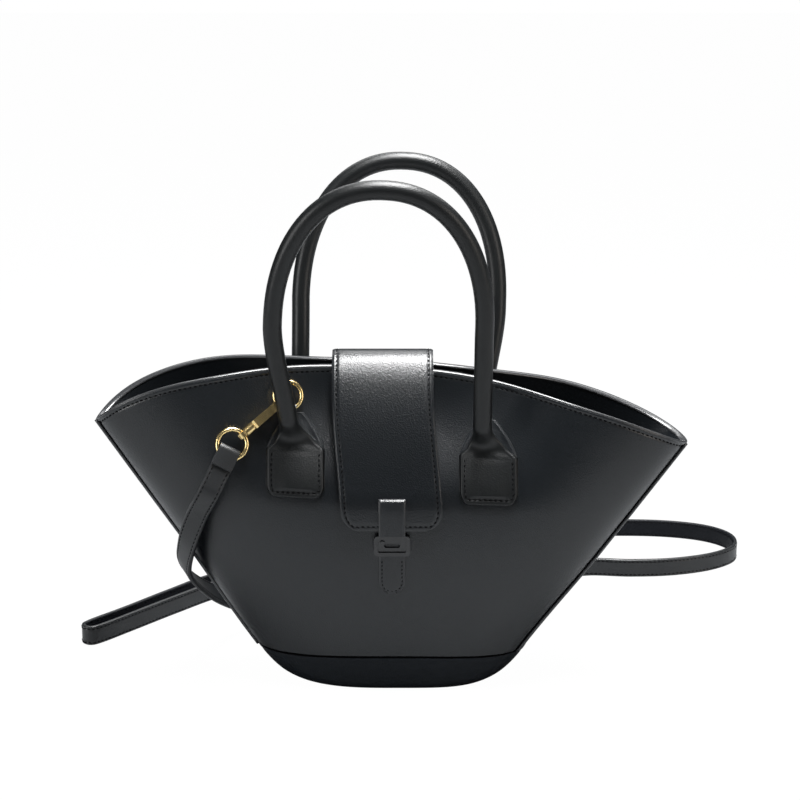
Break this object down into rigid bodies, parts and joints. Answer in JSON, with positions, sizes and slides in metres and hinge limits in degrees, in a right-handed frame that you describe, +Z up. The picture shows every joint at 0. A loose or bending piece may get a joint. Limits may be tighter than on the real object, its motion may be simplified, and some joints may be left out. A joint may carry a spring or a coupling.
{
  "type": "trapeze handbag with shoulder strap",
  "caption": "Small black trapeze bag with two rolled handles, a centre flap with a magnetic snap, and a long strap on gold swivel snap hooks.",
  "frame": {"origin": "middle of the bag without its strap, on the ground", "axes": "+X to the right seen from the front, +Y from the flap's face to the back, +Z up"},
  "size_m": [0.4043, 0.299, 0.2824],
  "materials": {
    "body_leather": "smooth black leather with a soft semi-gloss",
    "handle_leather": "smooth black leather rolled round a core, semi-gloss",
    "base_leather": "smooth blue-black leather, semi-gloss",
    "strap_leather": "smooth black leather with polished edges",
    "trim_leather": "thin smooth black leather",
    "lining": "dark woven cotton",
    "board": "fibre board, matt",
    "rope": "twisted cotton cord",
    "black_metal": "gloss black enamel",
    "snap_metal": "plated steel, satin",
    "spring_steel": "bright spring wire",
    "gold_metal": "polished pale gold plating"
  },
  "bodies": {
    "bag": {"front_panel": "body_leather", "back_panel": "body_leather", "base_panel": "base_leather", "base_board": "board", "front_lining": "lining", "back_lining": "lining", "base_lining": "lining", "front_facing": "body_leather", "back_facing": "body_leather", "front_left_patch": "body_leather", "front_right_patch": "body_leather", "back_left_patch": "body_leather", "back_right_patch": "body_leather", "front_ring_tab": "body_leather", "back_ring_tab": "body_leather", "flap_anchor": "body_leather", "closure_keeper": "black_metal", "closure_tab": "trim_leather", "snap_female": "snap_metal", "snap_washer": "snap_metal", "front_swivel_eye": "gold_metal", "back_swivel_eye": "gold_metal", "front_strap_ring": "gold_metal", "back_strap_ring": "gold_metal", "front_strap_end": "strap_leather", "back_strap_end": "strap_leather", "strap": "strap_leather"},
    "flap": {"flap": "body_leather", "flap_lining": "trim_leather", "closure_strip": "trim_leather", "snap_male": "snap_metal"},
    "front_handle": {"front_handle": "handle_leather", "front_handle_core": "rope"},
    "back_handle": {"back_handle": "handle_leather", "back_handle_core": "rope"},
    "front_ring": {"front_bag_ring": "gold_metal"},
    "back_ring": {"back_bag_ring": "gold_metal"},
    "front_hook": {"front_hook": "gold_metal", "front_gate_pin": "gold_metal", "front_gate_spring": "spring_steel"},
    "back_hook": {"back_hook": "gold_metal", "back_gate_pin": "gold_metal", "back_gate_spring": "spring_steel"},
    "front_gate": {"front_gate": "gold_metal"},
    "back_gate": {"back_gate": "gold_metal"}
  },
  "joints": [
    {"name": "front_handle_swing", "type": "hinge", "parent": "bag", "child": "front_handle", "pos_m": [0, -0.03154, 0.14463], "axis": [0.9993, 0, -0.0384], "range_deg": [-5, 100]},
    {"name": "back_handle_swing", "type": "hinge", "parent": "bag", "child": "back_handle", "pos_m": [0, 0.03154, 0.14463], "axis": [-0.9993, 0, 0.0384], "range_deg": [-5, 100]},
    {"name": "flap_hinge", "type": "hinge", "parent": "bag", "child": "flap", "pos_m": [-0.005, 0.0155, 0.16765], "axis": [-1, 0, 0], "range_deg": [0, 150]},
    {"name": "front_ring_swing", "type": "hinge", "parent": "bag", "child": "front_ring", "pos_m": [-0.05203, -0.02267, 0.1566], "axis": [0.9737, 0.2279, 0], "range_deg": [-6, 6]},
    {"name": "back_ring_swing", "type": "hinge", "parent": "bag", "child": "back_ring", "pos_m": [0.05203, 0.02305, 0.15238], "axis": [-0.9715, -0.2371, 0], "range_deg": [-6, 6]},
    {"name": "front_hook_swivel", "type": "hinge", "parent": "bag", "child": "front_hook", "pos_m": [-0.07438, -0.03105, 0.14788], "axis": [0.7291, 0.3769, 0.5713], "range_deg": [-10, 10]},
    {"name": "back_hook_swivel", "type": "hinge", "parent": "bag", "child": "back_hook", "pos_m": [0.07352, 0.03193, 0.1429], "axis": [-0.695, -0.399, 0.5981], "range_deg": [-10, 10]},
    {"name": "front_gate_hinge", "type": "hinge", "parent": "front_hook", "child": "front_gate", "pos_m": [-0.06856, -0.02588, 0.15209], "axis": [0.6498, -0.1189, -0.7508], "range_deg": [0, 17], "stiffness_Nm_per_rad": 0.004, "springref_deg": -28.65},
    {"name": "back_gate_hinge", "type": "hinge", "parent": "back_hook", "child": "back_gate", "pos_m": [0.06801, 0.02658, 0.14731], "axis": [-0.6838, 0.1097, -0.7214], "range_deg": [0, 17], "stiffness_Nm_per_rad": 0.004, "springref_deg": -28.65}
  ]
}
